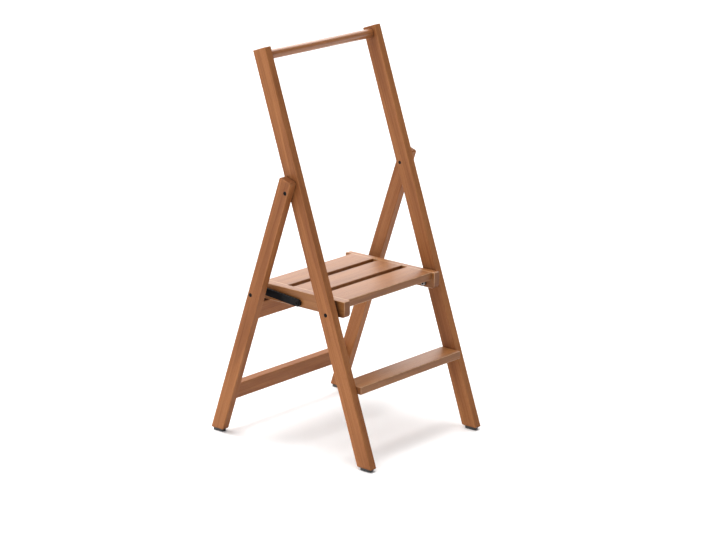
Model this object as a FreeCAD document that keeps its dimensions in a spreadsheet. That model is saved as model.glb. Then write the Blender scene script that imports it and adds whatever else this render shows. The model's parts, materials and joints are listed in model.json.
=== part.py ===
import FreeCAD, Part
import math
import os
import Sketcher

# Folding step stool with a high handle: two long front uprights with a handle bar and a
# lower step, two rear legs with two stretchers, a slatted seat that swings up between the
# uprights, and a steel link on each side between the seat and the rear leg.
#
# Frame: X to the right, Y to the back, Z up. The origin is on the floor, in the middle of
# the footprint. Sizes are in millimetres and degrees. "Along" is measured up a leg from the
# floor, "setback" from its front edge towards its rear edge.

sizes = {
    # heights of the two treads above the floor
    "seat_height": 403,
    "step_height": 203,
    # front frame
    "frame_width": 430,
    "front_lean": 18.9,
    "upright_length": 1066,
    "upright_depth": 42,
    "upright_thickness": 22,
    "handle_diameter": 24,
    "handle_drop": 19,
    "handle_tenon_diameter": 16,
    "handle_tenon_length": 14,
    "step_depth": 60,
    "step_thickness": 20,
    "step_dowel_pitch": 22,
    # rear frame
    "rear_lean": 19.2,
    "leg_depth": 38,
    "leg_thickness": 22,
    "leg_overrun": 31,
    "stretcher_thickness": 17,
    "upper_stretcher_height": 50,
    "lower_stretcher_height": 48,
    "lower_stretcher_along": 76.9,
    "stretcher_dowel_pitch": 26,
    # seat
    "rail_height": 42,
    "rail_thickness": 20,
    "rail_front_reach": 33,
    "rail_rear_reach": 20,
    "slat_thickness": 20,
    "front_slat_width": 82,
    "middle_slat_width": 78,
    "rear_slat_width": 74,
    "slat_gap": 18,
    "slat_inset": 9,
    "slat_dowel_edge": 18,
    # pivots
    "leg_pivot_along": 710.2,
    "leg_pivot_setback": 31,
    "leg_pivot_inset": 9,
    "seat_pivot_drop": 32,
    "link_pivot_rise": 12,
    "link_pivot_edge": 9.5,
    "side_gap": 1.8,
    "link_gap": 11,
    # link bars
    # the front pivot hangs this far under the line between the other two pivots, past dead
    # centre, so that the legs stay apart until the seat is lifted
    "link_front_drop": 3.5,
    "link_width": 19,
    "link_thickness": 5,
    "link_stand_off": 3,
    # hardware
    "bolt_diameter": 6,
    "bolt_head_diameter": 10,
    "bolt_head_height": 3,
    "socket_width": 4,
    "socket_depth": 1.8,
    "barrel_diameter": 9,
    "barrel_length": 15,
    "washer_diameter": 16,
    "washer_thickness": 1.6,
    "seat_washer_diameter": 12,
    "seat_washer_thickness": 1.2,
    "nut_width": 10,
    "nut_height": 6,
    "bolt_end": 1.5,
    "spacer_diameter": 14,
    "thin_nut_diameter": 12,
    "thin_nut_height": 2,
    "pin_head_diameter": 12,
    "pin_head_height": 2.2,
    "dowel_diameter": 8,
    "dowel_in_post": 14,
    "dowel_in_board": 18,
    "glide_height": 6.5,
    "glide_length": 34,
    "glide_width": 16,
    "glide_peg_diameter": 5,
    "glide_peg_length": 10,
    # clearances
    "running_clearance": 0.05,
    "side_clearance": 0.3,
    "rest_clearance": 0.3,
    "fold_clearance": 0.7,
    "link_clearance": 0.4,
    # worked edges
    "long_edge_radius": 1.6,
    "rail_edge_radius": 3,
    "slat_edge_radius": 2.5,
    "step_edge_radius": 3,
    "foot_chamfer": 3,
    "upright_top_radius": 1.5,
    "leg_top_radius": 5,
    "rail_end_radius": 10,
    "link_edge_radius": 0.6,
    "glide_corner_radius": 5,
}

across_stool = FreeCAD.Vector(1, 0, 0)
front_to_back = FreeCAD.Vector(0, 1, 0)
along_wood = FreeCAD.Vector(0, 0, 1)

# an edge this near to a sub-part's front or top face, in millimetres, lies on it
edge_reach = 1
# the largest slip from parallel, as a share of a unit direction
parallel_slip = 1e-6
full_turn = 360
# an edge runs mostly along an axis where at least this share of its direction does
mostly_along = 0.9

doc = FreeCAD.newDocument("step_stool")


def sine(angle):
    return math.sin(math.radians(angle))


def cosine(angle):
    return math.cos(math.radians(angle))


def upright_point(along, setback):
    """Side view place (y, z) of a point of an upright, with y from its front edge's foot."""
    lean = sizes["front_lean"]
    return along * sine(lean) + setback * cosine(lean), along * cosine(lean) - setback * sine(lean)


def upright_along(height, setback):
    """How far up an upright the height is reached, at a setback."""
    lean = sizes["front_lean"]
    return (height + setback * sine(lean)) / cosine(lean)


def leg_along(height, setback):
    """How far up a rear leg the height is reached, at a setback."""
    lean = sizes["rear_lean"]
    return (height - setback * sine(lean)) / cosine(lean)


def leg_offset(along, setback):
    """How far behind the foot of a rear leg's front edge a point of the leg is."""
    lean = sizes["rear_lean"]
    return setback * cosine(lean) - along * sine(lean)


def work_out_places():
    """The pivots and joints in the side view, with the stool open and standing on the floor."""
    size = sizes
    places = {}
    places["inner_width"] = size["frame_width"] - 2 * size["upright_thickness"]
    places["leg_inner"] = size["frame_width"] / 2 + size["side_gap"]
    places["rail_outer"] = places["inner_width"] / 2 - size["link_gap"]
    places["slat_length"] = 2 * (places["rail_outer"] - size["rail_thickness"])

    # leg pivot: the rear legs hang on the uprights here
    pivot_y, pivot_z = upright_point(size["leg_pivot_along"], size["leg_pivot_setback"])
    places["leg_pivot_y"] = pivot_y
    places["leg_pivot_z"] = pivot_z
    on_leg = leg_along(pivot_z, size["leg_pivot_inset"])
    places["leg_pivot_on_leg"] = on_leg
    places["leg_length"] = on_leg + size["leg_overrun"]
    places["leg_foot_y"] = pivot_y - leg_offset(on_leg, size["leg_pivot_inset"])

    # seat pivot: in the middle of the uprights' depth
    middle = size["upright_depth"] / 2
    seat_pivot_z = size["seat_height"] - size["seat_pivot_drop"]
    on_upright = upright_along(seat_pivot_z, middle)
    seat_pivot_y = upright_point(on_upright, middle)[0]
    places["seat_pivot_on_upright"] = on_upright
    places["seat_pivot_y"] = seat_pivot_y
    places["seat_pivot_z"] = seat_pivot_z

    # link's rear pivot: near the rear edge of the legs
    link_z = seat_pivot_z + size["link_pivot_rise"]
    setback = size["leg_depth"] - size["link_pivot_edge"]
    on_leg = leg_along(link_z, setback)
    link_y = places["leg_foot_y"] + leg_offset(on_leg, setback)
    places["link_pivot_setback"] = setback
    places["link_pivot_on_leg"] = on_leg
    places["link_pivot_y"] = link_y
    places["link_pivot_z"] = link_z

    # link's front pivot: just under the line from the seat pivot to the link's rear pivot, at
    # the distance that lets the rear legs and the seat rails both fold along the uprights
    span_y = link_y - seat_pivot_y
    span_z = link_z - seat_pivot_z
    span = math.hypot(span_y, span_z)
    lean = size["front_lean"]
    down = places["leg_pivot_on_leg"] - places["link_pivot_on_leg"]
    back = setback - size["leg_pivot_inset"]
    folded_along = size["leg_pivot_along"] - down - on_upright
    folded_setback = size["leg_pivot_setback"] + back - middle
    drop = size["link_front_drop"]
    turned = math.atan2(span_z, span_y)
    toward = math.cos(turned) * folded_along - math.sin(turned) * folded_setback
    aside = -math.sin(turned) * folded_along - math.cos(turned) * folded_setback
    gained = span ** 2 - folded_along ** 2 - folded_setback ** 2 - 2 * drop * aside
    reach = gained / (2 * (span - toward))
    front_y = seat_pivot_y + (reach * span_y + drop * span_z) / span
    front_z = seat_pivot_z + (reach * span_z - drop * span_y) / span
    places["link_front_y"] = front_y
    places["link_front_z"] = front_z
    places["link_length"] = math.hypot(link_y - front_y, link_z - front_z)
    places["link_tilt"] = math.degrees(math.atan2(link_z - front_z, link_y - front_y))

    # seat
    places["rail_front_y"] = seat_pivot_y - size["rail_front_reach"]
    slats = size["front_slat_width"] + size["middle_slat_width"] + size["rear_slat_width"]
    seat_depth = slats + 2 * size["slat_gap"]
    places["rail_length"] = size["slat_inset"] + seat_depth + size["rail_rear_reach"]
    places["rail_bottom_z"] = size["seat_height"] - size["rail_height"]

    # stretchers: behind the uprights' rear faces when the legs are folded
    setback_gain = size["leg_pivot_setback"] - size["leg_pivot_inset"]
    stretcher_setback = size["upright_depth"] - setback_gain + size["fold_clearance"]
    places["stretcher_setback"] = stretcher_setback
    top = places["rail_bottom_z"] - size["rest_clearance"]
    on_leg = leg_along(top, stretcher_setback + size["stretcher_thickness"])
    places["upper_stretcher_along"] = on_leg - size["upper_stretcher_height"]

    # lower step: its rear top edge is level with the uprights' rear edges
    depth = size["upright_depth"]
    step_rear_y = upright_point(upright_along(size["step_height"], depth), depth)[0]
    places["step_front_y"] = step_rear_y - size["step_depth"]
    step_middle = size["step_height"] - size["step_thickness"] / 2
    for name, sign in (("front", -1), ("rear", 1)):
        dowel_setback = middle + sign * size["step_dowel_pitch"] / 2
        dowel_along = upright_along(step_middle, dowel_setback)
        places["step_dowel_%s_setback" % name] = dowel_setback
        places["step_dowel_%s_along" % name] = dowel_along
        places["step_dowel_%s_y" % name] = upright_point(dowel_along, dowel_setback)[0]

    # glides: under the middle of each foot
    foot_height = size["glide_height"]
    along = upright_along(foot_height, middle)
    places["upright_foot_along"] = along
    places["front_glide_y"] = upright_point(along, middle)[0]
    leg_middle = size["leg_depth"] / 2
    along = leg_along(foot_height, leg_middle)
    places["leg_foot_along"] = along
    places["rear_glide_y"] = places["leg_foot_y"] + leg_offset(along, leg_middle)

    # footprint: from the front of the uprights' feet to the rear of the legs' feet
    front_along = upright_along(foot_height, 0) + size["foot_chamfer"]
    front_y = upright_point(front_along, 0)[0]
    rear_along = leg_along(foot_height, size["leg_depth"]) + size["foot_chamfer"]
    rear_y = places["leg_foot_y"] + leg_offset(rear_along, size["leg_depth"])
    places["middle_y"] = (front_y + rear_y) / 2
    return places


places = work_out_places()


def make_sheet(name, values):
    """A spreadsheet with one named number in each row."""
    sheet = doc.addObject("Spreadsheet::Sheet", name)
    for row, (alias, value) in enumerate(values.items(), start=1):
        sheet.set("A%d" % row, alias)
        sheet.set("B%d" % row, repr(float(value)))
        sheet.setAlias("B%d" % row, alias)
    return sheet


make_sheet("sizes", sizes)
make_sheet("places", places)
doc.recompute()


def new_body(label):
    body = doc.addObject("PartDesign::Body", label)
    body.Label = label
    return body


def origin_plane(body, role):
    return next(item for item in body.Origin.OriginFeatures if item.Role == role)


def new_sketch(body, name, role, offset=None):
    sketch = body.newObject("Sketcher::SketchObject", "%s_%s" % (body.Label, name))
    sketch.AttachmentSupport = [(origin_plane(body, role), "")]
    sketch.MapMode = "FlatFace"
    if offset:
        sketch.setExpression("AttachmentOffset.Base.z", offset)
    return sketch


def tie(sketch, kind, expression, start, *where):
    """Add a dimension to a sketch and bind it to an expression."""
    index = sketch.addConstraint(Sketcher.Constraint(kind, *where, start))
    sketch.setExpression("Constraints[%d]" % index, expression)


def tie_point(sketch, geometry, vertex, start, across, up):
    tie(sketch, "DistanceX", across, start.x, -1, 1, geometry, vertex)
    tie(sketch, "DistanceY", up, start.y, -1, 1, geometry, vertex)


def draw_outline(sketch, corners):
    """Draw a closed outline whose corners are pairs of expressions.

    The corners start apart from each other on a ring, and their dimensions pull them into place.
    """
    count = len(corners)
    ring_centre = FreeCAD.Vector(100, 100, 0)
    ring_arm = FreeCAD.Vector(40, 0, 0)
    ring = []
    for index in range(count):
        spoke = FreeCAD.Rotation(along_wood, full_turn * (index + 0.5) / count)
        ring.append(ring_centre + spoke.multVec(ring_arm))
    first = sketch.GeometryCount
    for index in range(count):
        sketch.addGeometry(Part.LineSegment(ring[index], ring[(index + 1) % count]))
    for index in range(count):
        following = first + (index + 1) % count
        sketch.addConstraint(Sketcher.Constraint("Coincident", first + index, 2, following, 1))
    for index, (across, up) in enumerate(corners):
        tie_point(sketch, first + index, 1, ring[index], across, up)


def draw_circle(sketch, across, up, diameter):
    start = FreeCAD.Vector(20, 20, 0)
    start_radius = 4.0
    index = sketch.addGeometry(Part.Circle(start, along_wood, start_radius))
    tie_point(sketch, index, 3, start, across, up)
    tie(sketch, "Diameter", diameter, 2 * start_radius, index)


def pad(body, sketch, name, length):
    feature = body.newObject("PartDesign::Pad", "%s_%s" % (body.Label, name))
    feature.Profile = sketch
    feature.setExpression("Length", length)
    doc.recompute()
    return feature


def pocket(body, sketch, name, depth=None, forward=True):
    """Cut a sketch into the body, right through it where no depth is given."""
    before = body.Shape.Volume
    feature = body.newObject("PartDesign::Pocket", "%s_%s" % (body.Label, name))
    feature.Profile = sketch
    feature.Reversed = forward
    if depth is None:
        feature.Type = "ThroughAll"
    else:
        feature.setExpression("Length", depth)
    doc.recompute()
    if not body.Shape.Volume < before:
        raise RuntimeError("%s cuts nothing" % feature.Label)
    return feature


def bore(body, name, holes, diameter, depth=None, face=None):
    """Round holes along X. They start at x = 0 and run towards +X, or start at the face given."""
    sketch = new_sketch(body, name + "_sketch", "YZ_Plane", face)
    for across, up in holes:
        draw_circle(sketch, across, up, diameter)
    return pocket(body, sketch, name, depth, forward=face is None)


def foot_bore(body, thickness, depth, along, lean):
    """The glide's peg hole, upright in the sloping foot. Lean is positive for an upright."""
    sketch = new_sketch(body, "peg_sketch", "XY_Plane")
    base = FreeCAD.Vector(0, sizes[depth] / 2, along)
    sketch.AttachmentOffset = FreeCAD.Placement(base, FreeCAD.Rotation(across_stool, lean))
    draw_circle(sketch, "sizes.%s / 2" % thickness, "0", "sizes.glide_peg_diameter")
    pocket(body, sketch, "peg_bore", "sizes.glide_peg_length")


def straight_edges(shape, direction, test=None):
    """Names of the straight edges along a direction, of those that pass the test."""
    names = []
    for index, edge in enumerate(shape.Edges, start=1):
        if edge.Curve.TypeId != "Part::GeomLine":
            continue
        if abs(abs(edge.Curve.Direction.dot(direction)) - 1) > parallel_slip:
            continue
        if test is None or test(edge.CenterOfMass):
            names.append("Edge%d" % index)
    return names


def foot_edges(shape, middle):
    """Names of the edges round the sloping foot of a leg, below its middle."""
    names = []
    for index, edge in enumerate(shape.Edges, start=1):
        sloping = abs(edge.tangentAt(edge.FirstParameter).z) < mostly_along
        if edge.CenterOfMass.z < middle and sloping:
            names.append("Edge%d" % index)
    return names


def dress(body, kind, name, edges, amount):
    """Round or chamfer the named edges of the body's last feature."""
    if not edges:
        raise RuntimeError("%s %s has no edges" % (body.Label, name))
    base = body.Tip
    feature = body.newObject("PartDesign::" + kind, "%s_%s" % (body.Label, name))
    feature.Base = (base, edges)
    feature.setExpression("Radius" if kind == "Fillet" else "Size", amount)
    doc.recompute()
    return feature


def place(body, x=0.0, y=0.0, z=0.0, turn=0.0):
    """Put a sub-part in the stool: y is measured from the foot of the uprights' front edge."""
    base = FreeCAD.Vector(x, y - places["middle_y"], z)
    body.Placement = FreeCAD.Placement(base, FreeCAD.Rotation(across_stool, turn))


def mirror_body(body, label):
    """The other side's piece, mirrored across the stool's middle plane."""
    twin = doc.addObject("Part::Mirroring", label)
    twin.Label = label
    twin.Source = body
    twin.Normal = across_stool
    twin.Base = FreeCAD.Vector(0, 0, 0)
    doc.recompute()
    return twin


def make_pair(body):
    """Repeat the body on the other side of the stool's middle plane, in the same sub-part."""
    solids = len(body.Shape.Solids)
    mirrored = body.newObject("PartDesign::Mirrored", body.Label + "_pair")
    mirrored.TransformMode = "Whole shape"
    mirrored.MirrorPlane = (origin_plane(body, "YZ_Plane"), [""])
    body.Tip = mirrored
    doc.recompute()
    if len(body.Shape.Solids) != 2 * solids:
        raise RuntimeError("%s has %d solids" % (body.Label, len(body.Shape.Solids)))


def turned(body, outline):
    """Revolve an outline of (x, radius) expressions about the X axis."""
    sketch = new_sketch(body, "profile", "XY_Plane")
    draw_outline(sketch, outline)
    feature = body.newObject("PartDesign::Revolution", body.Label + "_turned")
    feature.Profile = sketch
    feature.ReferenceAxis = (sketch, ["H_Axis"])
    feature.Angle = full_turn
    doc.recompute()


def draw_hexagon(sketch, width):
    """Draw a regular hexagon, measured across its flats, round the sketch's origin."""
    sides = 6
    corner = "%s / 2 / cos(%g deg)" % (width, full_turn / sides / 2)
    corners = []
    for index in range(sides):
        angle = full_turn * index / sides
        corners.append(("%s * cos(%g deg)" % (corner, angle), "%s * sin(%g deg)" % (corner, angle)))
    draw_outline(sketch, corners)


def cut_socket(body, head_face):
    """The hexagon socket in a bolt's head."""
    sketch = new_sketch(body, "socket_sketch", "YZ_Plane", head_face)
    draw_hexagon(sketch, "sizes.socket_width")
    pocket(body, sketch, "socket", "sizes.socket_depth", forward=False)


def turned_pair(label, outline, y, z, socket_face=None):
    """Two alike turned pieces on one cross axis, one on each side of the stool."""
    body = new_body(label)
    turned(body, outline)
    if socket_face:
        cut_socket(body, socket_face)
    make_pair(body)
    place(body, 0, y, z)


def ring_outline(start, end, hole, outside):
    return [(start, hole), (end, hole), (end, outside), (start, outside)]


half_frame = "sizes.frame_width / 2"
half_inner = "places.inner_width / 2"
leg_outer = "(places.leg_inner + sizes.leg_thickness)"
rail_inner = "(places.rail_outer - sizes.rail_thickness)"
link_inner = "(places.rail_outer + sizes.link_stand_off)"
link_outer = "(%s + sizes.link_thickness)" % link_inner
bolt_radius = "sizes.bolt_diameter / 2"
loose_bolt = "(sizes.bolt_diameter + 2 * sizes.running_clearance)"
loose_bolt_radius = "(sizes.bolt_diameter / 2 + sizes.running_clearance)"
head_seat = "(sizes.bolt_head_diameter + 2 * sizes.side_clearance)"


def make_upright():
    """Right upright. Its local Z runs up the wood, Y towards its rear edge."""
    body = new_body("upright_right")
    sketch = new_sketch(body, "side", "YZ_Plane")
    foot = "sizes.glide_height / cos(sizes.front_lean * 1 deg)"
    rise = "sizes.upright_depth * tan(sizes.front_lean * 1 deg)"
    draw_outline(sketch, [
        ("0", foot),
        ("sizes.upright_depth", "%s + %s" % (foot, rise)),
        ("sizes.upright_depth", "sizes.upright_length"),
        ("0", "sizes.upright_length"),
    ])
    pad(body, sketch, "blank", "sizes.upright_thickness")
    middle_height = sizes["upright_length"] / 2
    dress(body, "Chamfer", "foot", foot_edges(body.Shape, middle_height), "sizes.foot_chamfer")
    top_corners = straight_edges(body.Shape, across_stool, lambda point: point.z > middle_height)
    dress(body, "Fillet", "top_corners", top_corners, "sizes.upright_top_radius")
    long_edges = straight_edges(body.Shape, along_wood)
    dress(body, "Fillet", "edges", long_edges, "sizes.long_edge_radius")

    middle = "sizes.upright_depth / 2"
    leg_pivot = [("sizes.leg_pivot_setback", "sizes.leg_pivot_along")]
    seat_pivot = [(middle, "places.seat_pivot_on_upright")]
    barrel = "sizes.barrel_diameter + 2 * sizes.running_clearance"
    bore(body, "leg_pivot_bore", leg_pivot, loose_bolt)
    bore(body, "barrel_bore", leg_pivot, barrel, "sizes.barrel_length")
    bore(body, "seat_pivot_bore", seat_pivot, loose_bolt)
    bore(body, "seat_pivot_counterbore", seat_pivot, head_seat, "sizes.bolt_head_height",
         "sizes.upright_thickness")
    dowels = []
    for name in ("front", "rear"):
        dowels.append(("places.step_dowel_%s_setback" % name, "places.step_dowel_%s_along" % name))
    bore(body, "dowel_bores", dowels, "sizes.dowel_diameter", "sizes.dowel_in_post")
    handle = [(middle, "sizes.upright_length - sizes.handle_drop")]
    bore(body, "handle_bore", handle, "sizes.handle_tenon_diameter", "sizes.handle_tenon_length")
    foot_bore(body, "upright_thickness", "upright_depth", places["upright_foot_along"],
              sizes["front_lean"])
    place(body, places["inner_width"] / 2, 0, 0, -sizes["front_lean"])
    return body


def make_handle_bar():
    body = new_body("handle_bar")
    tenon_end = "(%s + sizes.handle_tenon_length)" % half_inner
    bar = "sizes.handle_diameter / 2"
    tenon = "sizes.handle_tenon_diameter / 2"
    turned(body, [
        ("-" + tenon_end, "0"), (tenon_end, "0"), (tenon_end, tenon), (half_inner, tenon),
        (half_inner, bar), ("-" + half_inner, bar), ("-" + half_inner, tenon),
        ("-" + tenon_end, tenon),
    ])
    along = sizes["upright_length"] - sizes["handle_drop"]
    y, z = upright_point(along, sizes["upright_depth"] / 2)
    place(body, 0, y, z)
    return body


def make_board(label, length, width, thickness):
    """A board with its length along X, centred, its front edge at y = 0 and its top at z = 0."""
    body = new_body(label)
    sketch = new_sketch(body, "section", "YZ_Plane", "-%s / 2" % length)
    draw_outline(sketch, [
        ("0", "-" + thickness), (width, "-" + thickness), (width, "0"), ("0", "0"),
    ])
    pad(body, sketch, "blank", length)
    return body


def end_bores(body, name, holes, half_length, diameter, depth):
    """The same blind holes in both ends of a board."""
    sketch = new_sketch(body, name + "_right_sketch", "YZ_Plane", half_length)
    for across, up in holes:
        draw_circle(sketch, across, up, diameter)
    pocket(body, sketch, name + "_right", depth, forward=False)
    sketch = new_sketch(body, name + "_left_sketch", "YZ_Plane", "-(%s)" % half_length)
    for across, up in holes:
        draw_circle(sketch, across, up, diameter)
    pocket(body, sketch, name + "_left", depth, forward=True)


def make_lower_step():
    body = make_board("lower_step", "places.inner_width", "sizes.step_depth",
                      "sizes.step_thickness")
    front_corners = straight_edges(body.Shape, along_wood, lambda point: point.y < edge_reach)
    dress(body, "Fillet", "front_corners", front_corners, "sizes.step_edge_radius")
    top_front = straight_edges(body.Shape, across_stool, lambda point: point.y < edge_reach)
    dress(body, "Fillet", "front_edges", top_front, "sizes.slat_edge_radius")
    end_bores(body, "dowel_bores", step_dowel_holes(), half_inner, "sizes.dowel_diameter",
              "sizes.dowel_in_board")
    place(body, 0, places["step_front_y"], sizes["step_height"])
    return body


def make_dowels(label, holes, board_end, y=0.0, z=0.0, turn=0.0):
    """Round pegs along X, one in each hole, across the joint at the board's end on each side."""
    body = new_body(label)
    sketch = new_sketch(body, "circles", "YZ_Plane", "%s - sizes.dowel_in_board" % board_end)
    for across, up in holes:
        draw_circle(sketch, across, up, "sizes.dowel_diameter")
    pad(body, sketch, "pegs", "sizes.dowel_in_board + sizes.dowel_in_post")
    make_pair(body)
    place(body, 0, y, z, turn)


def make_leg():
    """Right rear leg. Its local Z runs up the wood, Y towards its rear edge."""
    body = new_body("rear_leg_right")
    sketch = new_sketch(body, "side", "YZ_Plane")
    foot = "sizes.glide_height / cos(sizes.rear_lean * 1 deg)"
    drop = "sizes.leg_depth * tan(sizes.rear_lean * 1 deg)"
    draw_outline(sketch, [
        ("0", foot),
        ("sizes.leg_depth", "%s - %s" % (foot, drop)),
        ("sizes.leg_depth", "places.leg_length"),
        ("0", "places.leg_length"),
    ])
    pad(body, sketch, "blank", "sizes.leg_thickness")
    middle_height = places["leg_length"] / 2
    dress(body, "Chamfer", "foot", foot_edges(body.Shape, middle_height), "sizes.foot_chamfer")
    top_corners = straight_edges(body.Shape, across_stool, lambda point: point.z > middle_height)
    dress(body, "Fillet", "top_corners", top_corners, "sizes.leg_top_radius")
    long_edges = straight_edges(body.Shape, along_wood)
    dress(body, "Fillet", "edges", long_edges, "sizes.long_edge_radius")

    thickness = "sizes.leg_thickness"
    leg_pivot = [("sizes.leg_pivot_inset", "places.leg_pivot_on_leg")]
    link_pivot = [("places.link_pivot_setback", "places.link_pivot_on_leg")]
    bore(body, "leg_pivot_bore", leg_pivot, loose_bolt)
    bore(body, "leg_pivot_counterbore", leg_pivot, head_seat, "sizes.bolt_head_height", thickness)
    bore(body, "link_bore", link_pivot, loose_bolt)
    bore(body, "link_counterbore", link_pivot, head_seat, "sizes.bolt_head_height", thickness)
    dowels = stretcher_dowels("places.upper_stretcher_along", "sizes.upper_stretcher_height")
    dowels += stretcher_dowels("sizes.lower_stretcher_along", "sizes.lower_stretcher_height")
    bore(body, "dowel_bores", dowels, "sizes.dowel_diameter", "sizes.dowel_in_post")
    foot_bore(body, "leg_thickness", "leg_depth", places["leg_foot_along"], -sizes["rear_lean"])
    place(body, places["leg_inner"], places["leg_foot_y"], 0, sizes["rear_lean"])
    return body


def stretcher_dowels(along, height):
    """The two dowels of a stretcher's end in the leg's own directions."""
    setback = "places.stretcher_setback + sizes.stretcher_thickness / 2"
    holes = []
    for sign in ("-", "+"):
        up = "%s + (%s %s sizes.stretcher_dowel_pitch) / 2" % (along, height, sign)
        holes.append((setback, up))
    return holes


def make_stretcher(label, along, height):
    """A board between the rear legs, square in the legs' own directions."""
    body = new_body(label)
    sketch = new_sketch(body, "section", "YZ_Plane", "-places.leg_inner")
    front = "places.stretcher_setback"
    back = "places.stretcher_setback + sizes.stretcher_thickness"
    top = "%s + %s" % (along, height)
    draw_outline(sketch, [(front, along), (back, along), (back, top), (front, top)])
    pad(body, sketch, "blank", "2 * places.leg_inner")
    long_edges = straight_edges(body.Shape, across_stool)
    dress(body, "Fillet", "edges", long_edges, "sizes.long_edge_radius")
    end_bores(body, "dowel_bores", stretcher_dowels(along, height), "places.leg_inner",
              "sizes.dowel_diameter", "sizes.dowel_in_board")
    place(body, 0, places["leg_foot_y"], 0, sizes["rear_lean"])
    return body


def slat_starts():
    """The slats' names, widths and distances from the rails' front ends."""
    start = "sizes.slat_inset"
    rows = []
    for name in ("front", "middle", "rear"):
        width = "sizes.%s_slat_width" % name
        rows.append((name, width, start))
        start = "%s + %s + sizes.slat_gap" % (start, width)
    return rows


def slat_dowel_holes(width, start=None):
    offset = start + " + " if start else ""
    up = "-sizes.slat_thickness / 2"
    return [
        (offset + "sizes.slat_dowel_edge", up),
        ("%s%s - sizes.slat_dowel_edge" % (offset, width), up),
    ]


def make_rail():
    """Right seat rail: front end at y = 0, top at z = 0, inner face at x = 0."""
    body = new_body("seat_rail_right")
    sketch = new_sketch(body, "side", "YZ_Plane")
    draw_outline(sketch, [
        ("0", "-sizes.rail_height"), ("places.rail_length", "-sizes.rail_height"),
        ("places.rail_length", "0"), ("0", "0"),
    ])
    pad(body, sketch, "blank", "sizes.rail_thickness")
    low = straight_edges(body.Shape, across_stool, lambda point: point.z < -edge_reach)
    dress(body, "Fillet", "lower_ends", low, "sizes.rail_end_radius")
    high = straight_edges(body.Shape, across_stool, lambda point: point.z > -edge_reach)
    dress(body, "Fillet", "upper_ends", high, "sizes.rail_edge_radius")
    half = sizes["rail_thickness"] / 2
    outer = straight_edges(body.Shape, front_to_back, lambda point: point.x > half)
    dress(body, "Fillet", "outer_edges", outer, "sizes.rail_edge_radius")

    seat_pivot = [("sizes.rail_front_reach", "-sizes.seat_pivot_drop")]
    bore(body, "seat_pivot_bore", seat_pivot, loose_bolt)
    insert = [("places.link_front_y - places.rail_front_y", "places.link_front_z - sizes.seat_height")]
    bore(body, "insert_bore", insert, "sizes.barrel_diameter", "sizes.barrel_length",
         "sizes.rail_thickness")
    dowels = []
    for name, width, start in slat_starts():
        dowels += slat_dowel_holes(width, start)
    bore(body, "dowel_bores", dowels, "sizes.dowel_diameter", "sizes.dowel_in_post")
    place(body, places["rail_outer"] - sizes["rail_thickness"], places["rail_front_y"],
          sizes["seat_height"])
    return body


def make_slats():
    rail_front = places["rail_front_y"]
    for name, width, start in slat_starts():
        body = make_board("seat_slat_" + name, "places.slat_length", width,
                          "sizes.slat_thickness")
        top_edges = straight_edges(body.Shape, across_stool, lambda point: point.z > -edge_reach)
        dress(body, "Fillet", "top_edges", top_edges, "sizes.slat_edge_radius")
        end_bores(body, "dowel_bores", slat_dowel_holes(width), "places.slat_length / 2",
                  "sizes.dowel_diameter", "sizes.dowel_in_board")
        place(body, 0, rail_front, sizes["seat_height"])
        # the slat's own place behind the rails' front end is bound to the slats before it
        body.setExpression("Placement.Base.y", "%s + places.rail_front_y - places.middle_y" % start)


def make_slat_dowels():
    holes = []
    for name, width, start in slat_starts():
        holes += slat_dowel_holes(width, start)
    make_dowels("slat_dowels", holes, "places.slat_length / 2", places["rail_front_y"],
                sizes["seat_height"])


def make_link():
    """Right link bar: rear pivot at the local origin, front pivot on the local -Y axis."""
    body = new_body("link_right")
    sketch = new_sketch(body, "side", "YZ_Plane")
    length = places["link_length"]
    radius = sizes["link_width"] / 2
    quarter = math.pi / 2
    up = FreeCAD.Vector(0, 0, 1)
    top = Part.LineSegment(FreeCAD.Vector(-length, radius, 0), FreeCAD.Vector(0, radius, 0))
    bottom = Part.LineSegment(FreeCAD.Vector(-length, -radius, 0), FreeCAD.Vector(0, -radius, 0))
    rear_round = Part.Circle(FreeCAD.Vector(0, 0, 0), up, radius)
    front_round = Part.Circle(FreeCAD.Vector(-length, 0, 0), up, radius)
    sketch.addGeometry(top)
    sketch.addGeometry(Part.ArcOfCircle(rear_round, -quarter, quarter))
    sketch.addGeometry(bottom)
    sketch.addGeometry(Part.ArcOfCircle(front_round, quarter, 3 * quarter))
    for line, line_end, arc, arc_end in ((0, 2, 1, 2), (2, 2, 1, 1), (0, 1, 3, 1), (2, 1, 3, 2)):
        sketch.addConstraint(Sketcher.Constraint("Tangent", line, line_end, arc, arc_end))
    sketch.addConstraint(Sketcher.Constraint("Coincident", 1, 3, -1, 1))
    sketch.addConstraint(Sketcher.Constraint("PointOnObject", 3, 3, -1))
    tie(sketch, "DistanceX", "places.link_length", length, 3, 3, -1, 1)
    tie(sketch, "Radius", "sizes.link_width / 2", radius, 1)
    pad(body, sketch, "bar", "sizes.link_thickness")
    rims = []
    for index, edge in enumerate(body.Shape.Edges, start=1):
        if abs(edge.tangentAt(edge.FirstParameter).x) < mostly_along:
            rims.append("Edge%d" % index)
    dress(body, "Fillet", "rims", rims, "sizes.link_edge_radius")
    bore(body, "bores", [("0", "0"), ("-places.link_length", "0")], loose_bolt)
    place(body, places["rail_outer"] + sizes["link_stand_off"], places["link_pivot_y"],
          places["link_pivot_z"], places["link_tilt"])
    return body


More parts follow.
